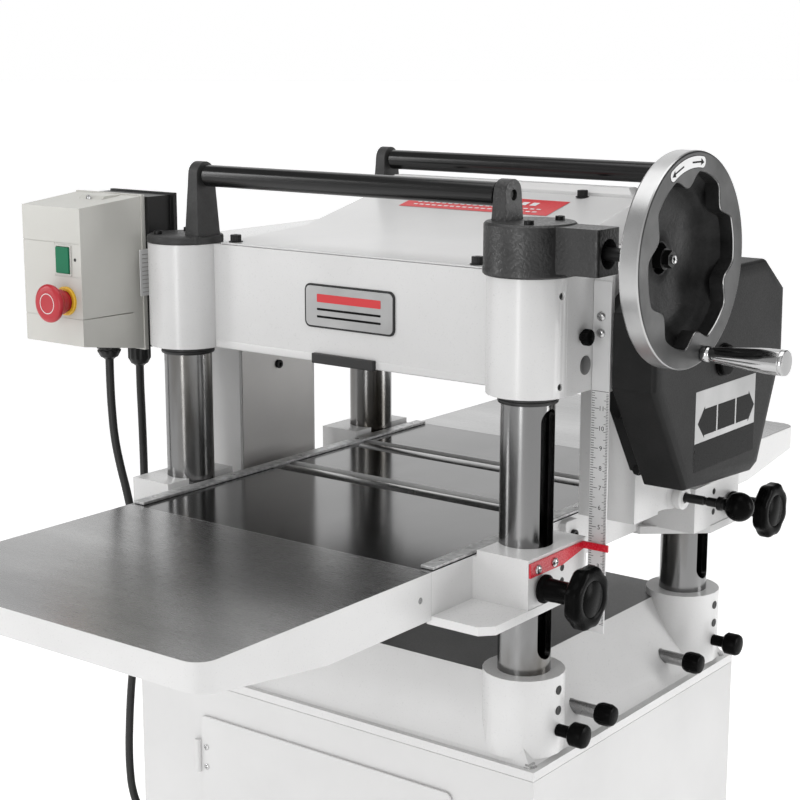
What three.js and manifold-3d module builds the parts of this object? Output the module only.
// Twenty-inch four-post thickness planer on a closed cabinet stand.
// Millimetres, +Z up. The origin is on the floor, midway between the four columns.
// +X is the handwheel and feed-gear side, -Y is the infeed side where the operator stands.
// Heights inside the "level" group are measured from the table surface in its rest position.
import * as THREE from 'three';
import { mergeVertices } from 'three/addons/utils/BufferGeometryUtils.js';
import Module from 'manifold-3d';

const wasm = await Module();
wasm.setup();

// ---------------------------------------------------------------- driving dimensions
const TABLE_REST = 780; // table surface above the floor at rest
const GAP = 0.3; // clearance between faces that touch
const SIDES = 24; // facets of a column and of every bore around it

const COLUMN = { x: 290, y: 211, radius: 34, bore: 26.5, bottom: -249.7, top: 344 };
const SLOT = { width: 32, bottom: -140, top: 182 };
const SCREW = { radius: 10, bottom: -277, top: 335, sprocket: 27 };
const PLANING = { halfWidth: 254, cutter: { y: 23, z: 232, radius: 48 } };
const FEED = { reach: 90, z: 212.5, radius: 32, shaft: 12 };
const HEAD = { halfX: 343, halfY: 208.4, bottom: 199, top: 345.5, socket: 53 };
const TABLE = { halfX: 257, front: -366, rear: 289, depth: 62, plate: 18 };
const WING = { infeed: -764, outfeed: 656, corner: 25, tip: 34, root: 60 };
const BOSS = { outer: 339, near: 146, far: 280, bottom: -56, top: 8.3 };
const BED = { radius: 25, proud: 0.5, front: -65, rear: 116 };
const BASE = { top: -168, bottom: -279.7, flangeX: 345, flangeY: 270 };
const STAND = { halfX: 345, halfY: 270, top: 499.7, sheet: 4, floor: 6 };
const WHEEL = { y: -211, z: 378, radius: 125, rimIn: 485, rimOut: 510 };
const STOCK = { z: 440, radius: 15, halfLength: 244 };
const BELT = { left: -388, right: -352, cutterRadius: 34, motorRadius: 55 };
const MOTOR = { y: -21, z: 165, radius: 92, left: -318, right: 20 };
const LIFTING = { y: 120, z: -235 }; // bars that lift the machine
const CORD = 12; // outside diameter of the mains cords
const COIL = { x: -425, y: -360, inner: 41.5, outer: 78.5, top: 24.7, tail: -63, tailZ: 18.3 };

// ---------------------------------------------------------------- materials
function paint(color, roughness, metalness = 0) {
  return new THREE.MeshStandardMaterial({ color, roughness, metalness });
}
const MATERIALS = {
  whitePaint: paint(0xe8e9e7, 0.35),
  blackPaint: paint(0x1b1c1d, 0.5),
  wrinklePaint: paint(0x161718, 0.65),
  castTable: paint(0x4b4d50, 0.3, 0.9),
  groundIron: paint(0xa3a4a3, 0.35, 0.9),
  steel: paint(0x9a9791, 0.2, 1),
  chrome: paint(0xd5d6d8, 0.08, 1),
  aluminium: paint(0xb6b9bc, 0.35, 1),
  galvanised: paint(0x9aa0a1, 0.5, 0.8),
  blackPlastic: paint(0x151515, 0.4),
  greyPlastic: paint(0xc4c5c1, 0.45),
  redPlastic: paint(0xb3202b, 0.4),
  redPaint: paint(0xc21f2f, 0.4),
  greenPlastic: paint(0x087a55, 0.45),
  rubber: paint(0x141416, 0.6),
};

// ---------------------------------------------------------------- solids
function solid(geometry) {
  const bare = geometry.clone();
  bare.deleteAttribute('normal');
  bare.deleteAttribute('uv');
  const welded = mergeVertices(bare, 1e-3);
  return new wasm.Manifold(new wasm.Mesh({
    numProp: 3,
    vertProperties: new Float32Array(welded.attributes.position.array),
    triVerts: new Uint32Array(welded.index.array),
  }));
}

function surface(body) {
  const mesh = body.getMesh();
  const geometry = new THREE.BufferGeometry();
  geometry.setAttribute('position', new THREE.BufferAttribute(mesh.vertProperties, 3));
  geometry.setIndex(new THREE.BufferAttribute(mesh.triVerts, 1));
  geometry.computeVertexNormals();
  return geometry;
}

function join(...bodies) {
  return bodies.reduce((sum, body) => sum.add(body));
}

function cut(body, ...tools) {
  return tools.reduce((rest, tool) => rest.subtract(tool), body);
}

function box(x0, x1, y0, y1, z0, z1) {
  const geometry = new THREE.BoxGeometry(x1 - x0, y1 - y0, z1 - z0);
  return solid(geometry.translate((x0 + x1) / 2, (y0 + y1) / 2, (z0 + z1) / 2));
}

// A box whose two ends along Z have their own half sizes.
function taper(lowX, lowY, highX, highY, z0, z1) {
  const geometry = new THREE.BoxGeometry(2, 2, z1 - z0);
  const place = geometry.attributes.position;
  for (let i = 0; i < place.count; i += 1) {
    const high = place.getZ(i) > 0;
    place.setX(i, place.getX(i) * (high ? highX : lowX));
    place.setY(i, place.getY(i) * (high ? highY : lowY));
  }
  return solid(geometry.translate(0, 0, (z0 + z1) / 2));
}

// Turns a solid made along Z so that Z runs along the named axis.
const TURN = {
  x: new THREE.Matrix4().makeBasis(
    new THREE.Vector3(0, 1, 0), new THREE.Vector3(0, 0, 1), new THREE.Vector3(1, 0, 0)),
  y: new THREE.Matrix4().makeBasis(
    new THREE.Vector3(1, 0, 0), new THREE.Vector3(0, 0, 1), new THREE.Vector3(0, -1, 0)),
  z: new THREE.Matrix4(),
};

function extrude(axis, outline, from, to, curveSegments = 8) {
  const options = { depth: to - from, bevelEnabled: false, curveSegments };
  const geometry = new THREE.ExtrudeGeometry(outline, options).applyMatrix4(TURN[axis]);
  const start = { x: [from, 0, 0], y: [0, to, 0], z: [0, 0, from] }[axis];
  return solid(geometry.translate(...start));
}

// A turned part: profile is a list of [radius, distance along the axis].
function turned(axis, profile, centre, sides) {
  const points = profile.map(([radius, along]) => new THREE.Vector2(radius, along));
  const geometry = new THREE.LatheGeometry(points, sides);
  if (axis === 'x') geometry.rotateZ(-Math.PI / 2);
  if (axis === 'z') geometry.rotateX(Math.PI / 2);
  return solid(geometry.translate(...centre));
}

function rod(axis, radius, from, to, [first, second], sides = 16) {
  const centre = { x: [0, first, second], y: [first, 0, second], z: [first, second, 0] }[axis];
  return turned(axis, [[0, from], [radius, from], [radius, to], [0, to]], centre, sides);
}

function polygon(points) {
  return new THREE.Shape(points.map(([x, y]) => new THREE.Vector2(x, y)));
}

function roundedRectangle(x0, y0, x1, y1, radius) {
  const shape = new THREE.Shape();
  shape.absarc(x1 - radius, y0 + radius, radius, -Math.PI / 2, 0);
  shape.absarc(x1 - radius, y1 - radius, radius, 0, Math.PI / 2);
  shape.absarc(x0 + radius, y1 - radius, radius, Math.PI / 2, Math.PI);
  shape.absarc(x0 + radius, y0 + radius, radius, Math.PI, 1.5 * Math.PI);
  return shape;
}

// Outline of a band stretched over two circles.
function bandOutline(a, radiusA, b, radiusB) {
  const heading = Math.atan2(b[1] - a[1], b[0] - a[0]);
  const lean = Math.acos((radiusA - radiusB) / Math.hypot(b[0] - a[0], b[1] - a[1]));
  const shape = new THREE.Shape();
  shape.absarc(a[0], a[1], radiusA, heading + lean, heading - lean + 2 * Math.PI);
  shape.absarc(b[0], b[1], radiusB, heading - lean, heading + lean);
  return shape;
}

// ---------------------------------------------------------------- scene graph
const planer = new THREE.Group();
const level = new THREE.Group();
level.position.z = TABLE_REST;
planer.add(level);

function add(parent, name, body, material, position = [0, 0, 0]) {
  const mesh = new THREE.Mesh(surface(body), MATERIALS[material]);
  mesh.name = name;
  mesh.position.set(...position);
  parent.add(mesh);
}

const CORNERS = [
  { name: 'front_left', sx: -1, sy: -1 },
  { name: 'front_right', sx: 1, sy: -1 },
  { name: 'rear_left', sx: -1, sy: 1 },
  { name: 'rear_right', sx: 1, sy: 1 },
];

function mirrored(body, sx, sy) {
  const sideways = sx < 0 ? body.mirror([1, 0, 0]) : body;
  return sy < 0 ? sideways.mirror([0, 1, 0]) : sideways;
}

// ---------------------------------------------------------------- cabinet stand and motor
function cabinetStand() {
  const { halfX, halfY, top, sheet, floor } = STAND;
  const plinth = 15;
  const shell = join(
    box(-halfX, halfX, -halfY, halfY, 0, top),
    box(-halfX - plinth, halfX + plinth, -halfY - plinth, halfY + plinth, 0, 25));
  const inside = box(sheet - halfX, halfX - sheet, sheet - halfY, halfY - sheet, floor, top - sheet);
  const topOpening = box(-315, 315, -240, 240, top - 10, top + 1);
  const doorway = box(-207, 207, -halfY - 1, sheet - halfY + 1, 63, 437);
  const shaftHole = rod('x', 28, -halfX - 1, sheet - halfX + 1, [MOTOR.y, MOTOR.z], 20);
  const cordBush = rod('x', 13, -halfX - 19.5, sheet - halfX, [-240, 240], 12);
  return join(cut(shell, inside, topOpening, doorway, shaftHole), cordBush);
}
add(planer, 'cabinet_stand', cabinetStand(), 'whitePaint');

function standDoor() {
  const panel = box(-222, 222, -STAND.halfY - 4.3, -STAND.halfY - GAP, 48, 452);
  const latch = rod('y', 14, -STAND.halfY - 16, -STAND.halfY - 4, [195, 250], 16);
  return join(panel, latch);
}
add(planer, 'stand_door', standDoor(), 'whitePaint');

function motor() {
  const { y, z, radius, left, right } = MOTOR;
  const shell = turned('x', [
    [0, left], [60, left], [radius - 8, left + 12], [radius, left + 30],
    [radius, right - 60], [radius - 4, right - 4], [radius - 12, right], [0, right],
  ], [0, y, z], 20);
  const feet = box(-250, -60, y - 85, y + 85, STAND.floor + GAP, 85);
  const arch = box(-190, -120, y - 86, y + 86, STAND.floor, 60);
  const terminalBox = box(-210, -110, y - 40, y + 40, z + 60, z + radius + 42);
  const shaftBore = rod('x', 12.4, left - 1, left + 40, [y, z], 16);
  return cut(join(shell, cut(feet, arch), terminalBox), shaftBore);
}
add(planer, 'motor', motor(), 'blackPaint');

const motorPulley = join(
  rod('x', BELT.motorRadius, BELT.left, BELT.right, [MOTOR.y, MOTOR.z], 24),
  rod('x', 12, BELT.right - 5, MOTOR.left + 15, [MOTOR.y, MOTOR.z], 16));
add(planer, 'motor_pulley', motorPulley, 'castTable');

// ---------------------------------------------------------------- base, columns and lift
function baseCasting() {
  const { top, bottom, flangeX, flangeY } = BASE;
  const flangeTop = bottom + 12;
  const shell = join(
    taper(335, 262, 265, 230, flangeTop - 1, top),
    box(-flangeX, flangeX, -flangeY, flangeY, bottom, flangeTop));
  const hollow = join(
    taper(325, 252, 255, 220, flangeTop - 1, top - 12),
    box(-325, 325, -252, 252, bottom - 1, flangeTop));
  let body = cut(shell, hollow);
  for (const { sx, sy } of CORNERS) {
    const centre = [sx * COLUMN.x, sy * COLUMN.y];
    const boss = rod('z', HEAD.socket, bottom + 18, top + 10, centre, SIDES);
    const socket = rod('z', COLUMN.radius + GAP, COLUMN.bottom - GAP, top + 11, centre, SIDES);
    const screwHole = rod('z', SCREW.radius + 1, bottom, top, centre, 12);
    const barHole = mirrored(rod('x', 9.6, 240, 350, [0, 0], 12), sx, sy)
      .translate([0, sy * LIFTING.y, LIFTING.z]);
    body = cut(join(body, boss), socket, screwHole, barHole);
  }
  return body;
}
add(level, 'base_casting', baseCasting(), 'whitePaint');

const slotHalf = SLOT.width / 2;
const slotOutline = roundedRectangle(-slotHalf, SLOT.bottom, slotHalf, SLOT.top, slotHalf - 0.01);
const columnTube = cut(
  rod('z', COLUMN.radius, COLUMN.bottom, COLUMN.top, [0, 0], SIDES),
  rod('z', COLUMN.bore, COLUMN.bottom - 1, COLUMN.top + 1, [0, 0], SIDES),
  extrude('x', slotOutline, 10, COLUMN.radius + 1, 2));
const leadscrew = turned('z', [
  [0, SCREW.bottom], [SCREW.radius, SCREW.bottom], [SCREW.radius, SCREW.bottom + 2],
  [SCREW.sprocket, SCREW.bottom + 2], [SCREW.sprocket, SCREW.bottom + 10],
  [SCREW.radius, SCREW.bottom + 10], [SCREW.radius, SCREW.top], [0, SCREW.top],
], [0, 0, 0], 12);

for (const { name, sx, sy } of CORNERS) {
  const place = [sx * COLUMN.x, sy * COLUMN.y, 0];
  add(level, `column_${name}`, mirrored(columnTube, sx, sy), 'steel', place);
  add(level, `leadscrew_${name}`, leadscrew, 'steel', place);
}

function liftChain() {
  const inner = SCREW.sprocket + 0.4;
  const outer = inner + 4.6;
  const ring = (reach) => roundedRectangle(
    -COLUMN.x - reach, -COLUMN.y - reach, COLUMN.x + reach, COLUMN.y + reach, reach);
  return cut(
    extrude('z', ring(outer), SCREW.bottom + 3, SCREW.bottom + 9, 3),
    extrude('z', ring(inner), SCREW.bottom + 2, SCREW.bottom + 10, 3));
}
add(level, 'lift_chain', liftChain(), 'blackPaint');

// Four bars that pull out of the base sides for lifting the machine.
const liftingBar = join(
  rod('x', 9, 205, 352, [0, 0], 12),
  turned('x', [[0, 348], [13, 348], [15, 352], [15, 366], [11, 372], [0, 372]], [0, 0, 0], 12));
for (const { name, sx, sy } of CORNERS) {
  const bar = mirrored(liftingBar, sx, sy);
  add(level, `lifting_bar_${name}`, bar, 'steel', [0, sy * LIFTING.y, LIFTING.z]);
}

// ---------------------------------------------------------------- head casting and its shell
function headCasting() {
  const { halfX, halfY, bottom, top, socket } = HEAD;
  const innerY = halfY - 18;
  const deckUnderside = top - 15;
  let body = cut(
    box(-halfX, halfX, -halfY, halfY, bottom, top),
    box(-256, 256, -innerY, innerY, bottom - 1, deckUnderside),
    box(-212, 212, -innerY, innerY, bottom - 1, top + 1));
  // Pad for the gear cover, with the lip that carries the depth scale.
  body = join(body,
    box(halfX - 1, halfX + 6.7, -141, 187, bottom, top - 2),
    box(halfX - 1, 369, -147, -141.4, bottom, top - 2));
  for (const { sx, sy } of CORNERS) {
    const centre = [sx * COLUMN.x, sy * COLUMN.y];
    body = join(body, rod('z', socket, bottom, top, centre, 32));
  }
  for (const { sx, sy } of CORNERS) {
    const centre = [sx * COLUMN.x, sy * COLUMN.y];
    body = cut(body, rod('z', COLUMN.radius + GAP, bottom - 1, top + 1, centre, SIDES));
  }
  const { y, z } = PLANING.cutter;
  body = cut(body, rod('x', 17, -halfX - 1, halfX + 8, [y, z], 24));
  for (const side of [-1, 1]) {
    const at = y + side * FEED.reach;
    const bore = FEED.shaft + 0.5;
    const right = join(
      rod('x', bore, 250, halfX + 8, [at, FEED.z], 16),
      box(250, halfX + 8, at - bore, at + bore, bottom - 1, FEED.z));
    const left = join(
      rod('x', bore, -305, -250, [at, FEED.z], 16),
      box(-305, -250, at - bore, at + bore, bottom - 1, FEED.z));
    body = cut(body, right, left);
  }
  return body;
}
add(level, 'head_casting', headCasting(), 'whitePaint');

function topCover() {
  const outer = polygon([
    [-208, 345.8], [185.5, 345.8], [185.5, 404.5], [180, 404.5], [-25, 357.5], [-208, 348.5]]);
  const inner = polygon([
    [-202, 345], [182.5, 345], [182.5, 401.3], [180, 401.3], [-25, 354.3], [-202, 345.8]]);
  const chipWindow = box(-200, 200, 180, 187, 352, 396);
  return cut(extrude('x', outer, -225, 220), extrude('x', inner, -222, 217), chipWindow);
}
add(level, 'top_cover', topCover(), 'whitePaint');

const PORT = { z: 288, outer: 50, inner: 46, end: 345 };
function dustHood() {
  const outer = polygon([
    [186, 346], [208.8, 346], [208.8, 236], [300, 236], [300, 338], [222, 414],
    [214, 418], [194, 418], [186, 409]]);
  const inner = polygon([
    [189, 349], [211.8, 349], [211.8, 239], [297, 239], [297, 337], [220, 411.5],
    [213, 415], [195, 415], [189, 408]]);
  const corner = polygon([[190, 420], [230, 420], [230, 382]]);
  const shell = cut(extrude('x', outer, -228, 228), extrude('x', inner, -225, 225));
  const window = box(-200, 200, 185, 190, 352, 396);
  const endWall = cut(extrude('y', polygon([[187, 417], [227, 379], [227, 417]]), 186.5, 300),
    extrude('y', corner, 185, 301));
  const inside = extrude('x', outer, -228, 228);
  const chamfered = join(
    cut(shell, extrude('y', corner, 185, 301)),
    endWall.intersect(inside));
  const port = cut(
    rod('y', PORT.outer, 297, PORT.end, [0, PORT.z], 28),
    rod('y', PORT.inner, 290, PORT.end + 1, [0, PORT.z], 28));
  return join(cut(chamfered, window, rod('y', PORT.inner, 290, 310, [0, PORT.z], 28)), port);
}
add(level, 'dust_hood', dustHood(), 'whitePaint');

add(level, 'depth_limiter', box(-55, 50, -216, -HEAD.halfY - GAP, 198, 211.5), 'blackPaint');
add(level, 'depth_scale', box(343.5, 369, -149.2, -147.3, -115, 336), 'aluminium');

// ---------------------------------------------------------------- feed gear side
function gearCase() {
  const body = join(
    box(264.3, 349.7, -44, 20, 2, HEAD.bottom - GAP),
    box(271, 343, 20, 116, 2, HEAD.bottom - GAP),
    rod('z', 39, 0, HEAD.bottom - GAP, [310, 77], 28),
    rod('x', 15, 340, 360, [77, 15], 20));
  return cut(body, rod('x', 7.5, 280, 361, [77, 15], 16));
}
add(level, 'gear_case', gearCase(), 'whitePaint');

const shiftRod = join(
  rod('x', 7, 300, 426, [77, 15], 16),
  turned('x', [
    [0, 420], [8, 420], [16, 426], [20, 434], [20, 446], [16, 454], [8, 459], [0, 460],
  ], [0, 77, 15], 16));
add(level, 'shift_rod', shiftRod, 'blackPlastic');

function gearCover() {
  const corners = [
    [-157, 206], [-69, 66], [115, 56], [134, 64], [196, 206], [194, 298], [137, 341],
    [-91, 341], [-157, 299]];
  const middle = [19, 203];
  const shrunk = (scale) => polygon(corners.map(([y, z]) => [
    middle[0] + (y - middle[0]) * scale, middle[1] + (z - middle[1]) * scale]));
  const back = 376;
  const front = 440;
  const bevel = { thickness: 8, size: 18 };
  const rounded = new THREE.ExtrudeGeometry(polygon(corners), {
    depth: front - bevel.thickness - back, bevelThickness: bevel.thickness,
    bevelSize: bevel.size, bevelOffset: -bevel.size, bevelSegments: 3,
  }).applyMatrix4(TURN.x).translate(back, 0, 0);
  const shell = join(
    solid(rounded).intersect(box(back, front + 1, -200, 250, 0, 400)),
    extrude('x', shrunk(0.905), 350, back + 1));
  return cut(shell,
    extrude('x', shrunk(0.865), 349, back + 4),
    extrude('x', shrunk(0.89), back + 3, front - 16));
}
add(level, 'gear_cover', gearCover(), 'wrinklePaint');

// ---------------------------------------------------------------- cutter and feed rollers
function cutterhead() {
  const { y, z, radius } = PLANING.cutter;
  const half = PLANING.halfWidth;
  return turned('x', [
    [0, -389], [16, -389], [16, -half], [radius, -half], [radius, half], [16, half],
    [16, 372], [0, 372]], [0, y, z], 24);
}
add(level, 'cutterhead', cutterhead(), 'steel');

const cutterPulley = cut(
  rod('x', BELT.cutterRadius, BELT.left, BELT.right, [PLANING.cutter.y, PLANING.cutter.z], 24),
  rod('x', 16.4, BELT.left - 1, BELT.right + 1, [PLANING.cutter.y, PLANING.cutter.z], 24));
add(level, 'cutterhead_pulley', cutterPulley, 'castTable');

function feedRoller() {
  const half = PLANING.halfWidth - 2;
  return turned('x', [
    [0, -300], [FEED.shaft, -300], [FEED.shaft, -half], [FEED.radius, -half],
    [FEED.radius, half], [FEED.shaft, half], [FEED.shaft, 374], [38, 374], [38, 386],
    [FEED.shaft, 386], [FEED.shaft, 395], [0, 395]], [0, 0, 0], 20);
}
for (const [name, side] of [['infeed_roller', -1], ['outfeed_roller', 1]]) {
  const place = [0, PLANING.cutter.y + side * FEED.reach, FEED.z];
  add(level, name, feedRoller(), side < 0 ? 'steel' : 'rubber', place);
}

// ---------------------------------------------------------------- belt drive
function driveBelt() {
  const cutter = [PLANING.cutter.y, PLANING.cutter.z];
  const drive = [MOTOR.y, MOTOR.z - TABLE_REST];
  const band = (grow) => bandOutline(
    cutter, BELT.cutterRadius + grow, drive, BELT.motorRadius + grow);
  return cut(
    extrude('x', band(4), BELT.left + 3, BELT.right - 3, 10),
    extrude('x', band(0.4), BELT.left, BELT.right, 10));
}
add(level, 'drive_belt', driveBelt(), 'rubber');

function beltGuard() {
  const wall = 4;
  const slab = { x0: -395, x1: -346, y0: -104, y1: 68, z0: -690, z1: 335 };
  const inner = { x1: -290, z0: BASE.top + 1, z1: HEAD.bottom - GAP };
  const outside = join(
    box(slab.x0, slab.x1, slab.y0, slab.y1, slab.z0, slab.z1),
    box(slab.x0, inner.x1, slab.y0, slab.y1, inner.z0, inner.z1));
  const inside = join(
    box(slab.x0 + wall, slab.x1 + 1, slab.y0 + wall, slab.y1 - wall, slab.z0 + wall, slab.z1 - wall),
    box(slab.x0 + wall, inner.x1 - wall, slab.y0 + wall, slab.y1 - wall,
      inner.z0 + wall, inner.z1 - wall));
  return cut(outside, inside);
}
add(level, 'belt_guard', beltGuard(), 'whitePaint');

// ---------------------------------------------------------------- roller brackets and rollers
const POST = { inner: 246, outer: 265, foot: 23, head: 18, axle: 9.5 };

function postOutline(y) {
  const shape = new THREE.Shape();
  shape.moveTo(y - POST.foot, 350);
  shape.lineTo(y + POST.foot, 350);
  shape.absarc(y, STOCK.z + 2, POST.head, 0, Math.PI);
  return shape;
}

function rollerPost(y) {
  return extrude('x', postOutline(y), POST.inner, POST.outer, 4);
}

function rollerBracket(sy) {
  const y = sy * COLUMN.y;
  const flangeTop = 356.5;
  const flangeBottom = HEAD.top + GAP;
  const body = join(
    rod('z', 54, flangeBottom, flangeTop, [COLUMN.x, y], 32),
    box(240, COLUMN.x, y - 30, y + 30, flangeBottom, flangeTop),
    rollerPost(y));
  return cut(body, rod('x', POST.axle, POST.inner - 1, POST.outer + 1, [y, STOCK.z], 16));
}
for (const { name, sx, sy } of CORNERS) {
  if (name === 'front_right') continue;
  const body = rollerBracket(sy);
  add(level, `roller_bracket_${name}`, sx < 0 ? body.mirror([1, 0, 0]) : body, 'blackPaint');
}

function elevationGearbox() {
  const y = -COLUMN.y;
  const flangeBottom = HEAD.top + GAP;
  const body = join(
    rod('z', 58, flangeBottom, 410, [COLUMN.x, y], 32),
    box(COLUMN.x, 400, y - 25, y + 25, flangeBottom + 6, 408),
    box(240, COLUMN.x, y - 30, y + 30, flangeBottom, 400),
    rollerPost(y));
  const cavity = rod('z', 36, flangeBottom - 1, 398, [COLUMN.x, y], 24);
  const shaftBore = rod('x', 8.6, 300, 401, [y, WHEEL.z], 16);
  const recess = rod('x', 20, 388, 401, [y, WHEEL.z], 20);
  const axleHole = rod('x', POST.axle, POST.inner - 1, POST.outer + 1, [y, STOCK.z], 16);
  return cut(body, cavity, shaftBore, recess, axleHole);
}
add(level, 'elevation_gearbox', elevationGearbox(), 'wrinklePaint');

function stockRoller() {
  const half = STOCK.halfLength;
  const pin = 6;
  return turned('x', [
    [0, -half - 18], [pin, -half - 18], [pin, -half], [STOCK.radius, -half],
    [STOCK.radius, half], [pin, half], [pin, half + 18], [0, half + 18]], [0, 0, 0], 20);
}
add(level, 'stock_roller_front', stockRoller(), 'blackPaint', [0, -COLUMN.y, STOCK.z]);
add(level, 'stock_roller_rear', stockRoller(), 'blackPaint', [0, COLUMN.y, STOCK.z]);

// ---------------------------------------------------------------- handwheel
function handwheel() {
  const { y, z, radius, rimIn, rimOut } = WHEEL;
  return turned('x', [
    [0, 310], [8, 310], [8, 428], [20, 431], [22, 462], [60, 480], [104, rimIn + 4],
    [107, rimIn], [radius - 3, rimIn], [radius, rimIn + 5], [radius, rimOut - 5],
    [radius - 4, rimOut], [108, rimOut], [98, rimOut - 10], [26, 478], [0, 479],
  ], [0, y, z], 32);
}
add(level, 'handwheel', handwheel(), 'chrome');

const handle = turned('x', [
  [0, WHEEL.rimOut + GAP], [8, WHEEL.rimOut + GAP], [8, 520], [9.5, 522], [10, 545],
  [15, 600], [15, 611], [8, 616], [0, 616]], [0, -179, 267], 16);
add(level, 'handwheel_handle', handle, 'chrome');

// ---------------------------------------------------------------- switch
const FACE = -335; // front face of the switch housing
function switchHousing() {
  const rim = -225;
  const frontZ = [202, 396];
  const sideSlope = (7 / (rim - FACE));
  const profile = polygon([
    [FACE, frontZ[0]], [rim, 186], [rim, 184], [-218.3, 184], [-218.3, 408], [rim, 408],
    [rim, 406], [FACE, frontZ[1]]]);
  const spread = 7;
  const plan = polygon([
    [-490, FACE], [-371, FACE], [-371 + sideSlope * (rim - FACE), rim], [-362, rim],
    [-362, -218.3], [-498, -218.3], [-498, rim], [-490 - spread, rim]]);
  const block = extrude('x', profile, -500, -360).intersect(extrude('z', plan, 180, 410));
  const collar = rod('y', 20, FACE - 3, FACE + 1, [-403, 265], 24);
  const stopHole = rod('y', 14.6, FACE - 4, FACE + 22, [-403, 265], 20);
  const startPocket = box(-420, -392, FACE - 1, FACE + 11, 303, 342);
  return cut(join(block, collar), stopHole, startPocket);
}
const housing = switchHousing();
add(level, 'switch_housing', housing, 'greyPlastic');
add(level, 'start_button', box(-419, -393, FACE - 4, FACE + 6, 304, 341), 'greenPlastic');
const stopButton = turned('y', [
  [0, FACE - 37], [24, FACE - 37], [27, FACE - 34], [27, FACE - 30], [23, FACE - 25],
  [18, FACE - 18], [18, FACE - 12], [14, FACE - 10], [14, FACE + 12], [0, FACE + 12],
], [-403, 0, 265], 24);
add(level, 'stop_button', stopButton, 'redPlastic');

const contactorBox = join(
  box(-484, -356, -218, -172, 188, 405),
  box(-480, -349, -173, -166, 215, 408),
  box(-349, -343.4, -173, -112, 215, 335));
add(level, 'contactor_box', contactorBox, 'blackPlastic');

// ---------------------------------------------------------------- glands and cords
const MOTOR_GLAND = { x: -388, y: -272, bottom: 175 };
const POWER_GLAND = { x: -407, y: -194, bottom: 152 };

function gland(top, bottom) {
  return turned('z', [
    [0, bottom], [8, bottom], [13, bottom + 4], [17.5, bottom + 11], [17.5, top], [0, top],
  ], [0, 0, 0], 16);
}
const motorGland = cut(
  gland(200, MOTOR_GLAND.bottom).translate([MOTOR_GLAND.x, MOTOR_GLAND.y, 0]),
  housing.translate([0, 0, -GAP]));
add(level, 'motor_cord_gland', motorGland, 'blackPlastic');
const powerGland = gland(187.7, POWER_GLAND.bottom);
add(level, 'power_cord_gland', powerGland, 'blackPlastic', [POWER_GLAND.x, POWER_GLAND.y, 0]);

function tube(points, steps) {
  const section = new THREE.Shape();
  section.absarc(0, 0, CORD / 2, 0, 2 * Math.PI);
  const path = new THREE.CatmullRomCurve3(points.map((p) => new THREE.Vector3(...p)));
  const options = { steps, extrudePath: path, curveSegments: 4 };
  return solid(new THREE.ExtrudeGeometry(section, options));
}

// From the switch down past the table and into the left wall of the stand.
const MOTOR_ROUTE = [
  [-388, -272, 174.7], [-388, -272, 144], [-386.5, -272, 100], [-382.5, -271.5, 56],
  [-375, -270, 18], [-365.5, -268, -20], [-359, -265, -60], [-357, -262, -100],
  [-360, -258, -150], [-367, -254, -200], [-377, -250, -250], [-388, -246, -300],
  [-398, -243, -350], [-405, -241, -400], [-408.5, -240, -440], [-408, -240, -475],
  [-404, -240, -505], [-394, -240, -527], [-380, -240, -538], [-366, -240, -540],
];
add(level, 'motor_cord', tube(MOTOR_ROUTE, 30), 'rubber');

// From the contactor straight down to the floor and round to the start of the coil.
const POWER_ROUTE = [
  [-407, -194, 931.7], [-407, -194, 900], [-406, -194, 860], [-405, -194, 800],
  [-405, -194, 740], [-405, -194, 660], [-405.5, -194, 580], [-406, -194, 500],
  [-406.5, -194, 420], [-407.5, -195, 340], [-409, -196, 270], [-412, -199, 205],
  [-418, -205, 145], [-427, -213, 92], [-439, -225, 50], [-454, -240, 22],
  [-469, -257, 9], [-481.5, -276, 6.4], [-491, -296, 6.4], [-496, -314.5, 6.4],
];
add(planer, 'power_cord', tube(POWER_ROUTE, 40), 'rubber');

// The coil's outer shape, with the end of the cord that runs on to the plug.
const coilBody = join(
  turned('z', [
    [COIL.inner, 0.3], [COIL.outer, 0.3], [COIL.outer, COIL.top], [COIL.inner, COIL.top],
    [COIL.inner, 0.3],
  ], [0, 0, 0], 32),
  rod('x', CORD / 2, 30, 57.7, [COIL.tail, COIL.tailZ], 8));
add(planer, 'power_cord_coil', coilBody, 'rubber', [COIL.x, COIL.y, 0]);

const plugBody = join(
  turned('x', [[0, 0], [9, 0], [11, 20], [16, 27], [18, 36], [18, 62], [16, 64], [0, 64]],
    [0, 0, 0], 16),
  box(63, 82, -9, -7, -3.5, 3.5),
  box(63, 82, 7, 9, -3.5, 3.5),
  rod('x', 2.6, 63, 85, [0, 10], 8));
add(planer, 'power_plug', plugBody, 'blackPlastic', [COIL.x + 58, COIL.y + COIL.tail, COIL.tailZ]);

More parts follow.
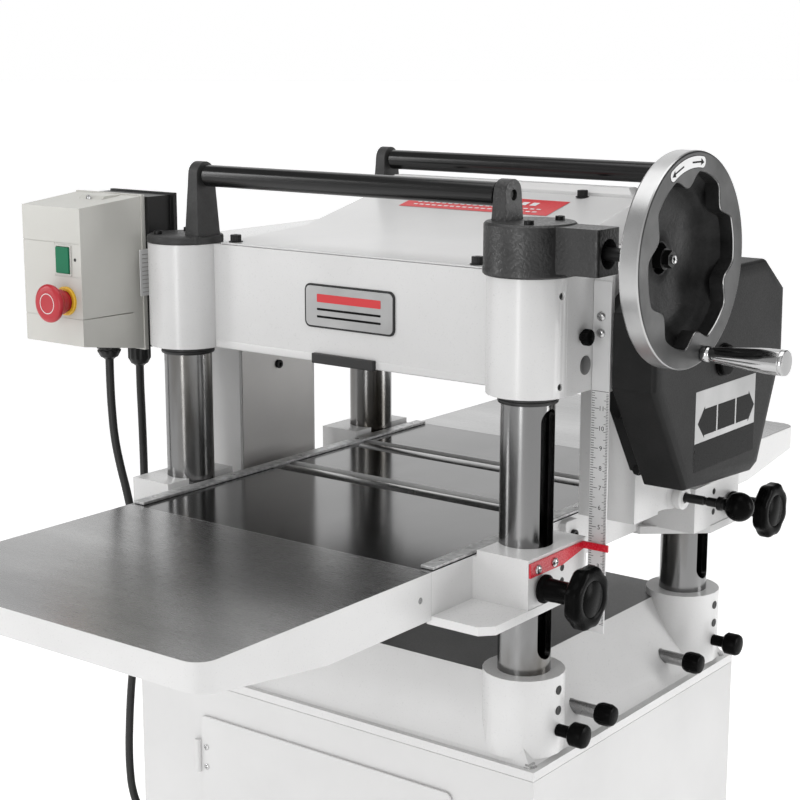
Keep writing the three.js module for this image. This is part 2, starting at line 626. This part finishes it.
// ---------------------------------------------------------------- table
function tableCasting() {
  const { halfX, front, rear, depth, plate } = TABLE;
  const wall = 11;
  let body = box(-halfX, halfX, front, rear, -depth, 0);
  const bays = [[front + 14, -165], [-155, 20], [30, 190], [200, rear - 14]];
  for (const [y0, y1] of bays) {
    body = cut(body, box(wall - halfX, halfX - wall, y0, y1, -depth - 1, -plate));
  }
  for (const y of [BED.front, BED.rear]) {
    const slot = BED.radius + 1.5;
    body = cut(body, box(-250, 250, y - slot, y + slot, -plate - 1, 1),
      box(wall - halfX, halfX - wall, y - slot, y + slot, -depth - 1, -plate),
      rod('x', 8.4, -254, 254, [y, BED.proud - BED.radius], 16));
  }
  const flange = polygon([
    [250, 366], [325, 366], [340, 350], [340, 195], [262, 130], [250, 130]]);
  for (const { sx, sy } of CORNERS) {
    const railEdge = sx > 0 ? 263 : 268.5;
    const far = sy < 0 ? 366 : TABLE.rear;
    const quarter = join(
      box(250, BOSS.outer, BOSS.near, BOSS.far, BOSS.bottom, -0.01),
      box(railEdge, BOSS.outer, BOSS.near, BOSS.far, -5, BOSS.top),
      extrude('z', flange, -66, BOSS.bottom + 1).intersect(
        box(249, 341, 129, far, -67, 0)));
    body = join(body, mirrored(quarter, sx, sy));
    const centre = [sx * COLUMN.x, sy * COLUMN.y];
    body = cut(body, rod('z', COLUMN.radius + 0.6, -70, BOSS.top + 1, centre, SIDES));
    // Lift nut inside the column, keyed through the column's slot to the boss.
    const nut = rod('z', COLUMN.bore - 1, -50, -10, [0, 0], 16);
    const key = box(12, 42, -14, 14, -45, -15);
    const carrier = cut(join(nut, key), rod('z', SCREW.radius + 0.5, -51, -9, [0, 0], 12));
    body = join(body, mirrored(carrier, sx, sy).translate([centre[0], centre[1], 0]));
    if (sx > 0) {
      const lockHole = rod('x', 6.6, 300, BOSS.outer + 2, [sy * 251, -33], 12);
      body = cut(body, lockHole);
    }
  }
  return body;
}
add(level, 'table_casting', tableCasting(), 'castTable');

function wing(inner, outer) {
  const away = Math.sign(outer - inner);
  const { tip, root, corner } = WING;
  const knee = inner + away * 194;
  const side = polygon([[inner, 0], [outer, 0], [outer, -tip], [knee, -root], [inner, -root]]);
  const half = TABLE.halfX;
  const plan = roundedRectangle(-half, Math.min(inner, outer) - (away > 0 ? 50 : 0),
    half, Math.max(inner, outer) + (away < 0 ? 50 : 0), corner);
  const ends = [inner + away * 14, outer - away * 14].sort((a, b) => a - b);
  const middle = (ends[0] + ends[1]) / 2;
  return cut(
    extrude('x', side, -half, half).intersect(extrude('z', plan, -root - 1, 1, 5)),
    box(14 - half, half - 14, ends[0], middle - 5, -root - 1, -15),
    box(14 - half, half - 14, middle + 5, ends[1], -root - 1, -15));
}
add(level, 'infeed_extension', wing(TABLE.front - GAP, WING.infeed), 'groundIron');
add(level, 'outfeed_extension', wing(TABLE.rear + GAP, WING.outfeed), 'groundIron');

add(level, 'side_rail_left', box(-255, -236, -360, TABLE.rear, GAP, 4.3), 'galvanised');
add(level, 'side_rail_right', box(236, 255, -360, TABLE.rear, GAP, 4.3), 'galvanised');

const bedRoller = turned('x', [
  [0, -252], [8, -252], [8, -235], [BED.radius, -235], [BED.radius, 235], [8, 235],
  [8, 252], [0, 252]], [0, 0, 0], 20);
const bedZ = BED.proud - BED.radius;
add(level, 'bed_roller_front', bedRoller, 'steel', [0, BED.front, bedZ]);
add(level, 'bed_roller_rear', bedRoller, 'steel', [0, BED.rear, bedZ]);

const pointer = join(
  extrude('x', polygon([
    [-279, -14], [-206, -14], [-165, -6], [-155, -4], [-155, 5], [-165, 5],
    [-279, 4]]), BOSS.outer + GAP, BOSS.outer + 2.8),
  box(BOSS.outer + GAP, 377, -157.5, -155, -4, 5));
add(level, 'scale_pointer', pointer, 'redPaint');

function lockKnob() {
  const lobes = 8;
  const outline = new THREE.Shape();
  for (let i = 0; i <= lobes * 3; i += 1) {
    const angle = (i / (lobes * 3)) * 2 * Math.PI;
    const radius = 37.5 + 2.5 * Math.cos(lobes * angle);
    outline[i ? 'lineTo' : 'moveTo'](radius * Math.cos(angle), radius * Math.sin(angle));
  }
  return join(
    extrude('x', outline, 392, 414),
    rod('x', 14.5, 345, 394, [0, 0], 20),
    rod('x', 18, 342.4, 349, [0, 0], 20),
    rod('x', 6, 303, 344, [0, 0], 12));
}
for (const [name, y] of [['front', -251], ['rear', 251]]) {
  add(level, `lock_knob_${name}`, lockKnob(), 'blackPlastic', [0, y, -33]);
}

export default planer;
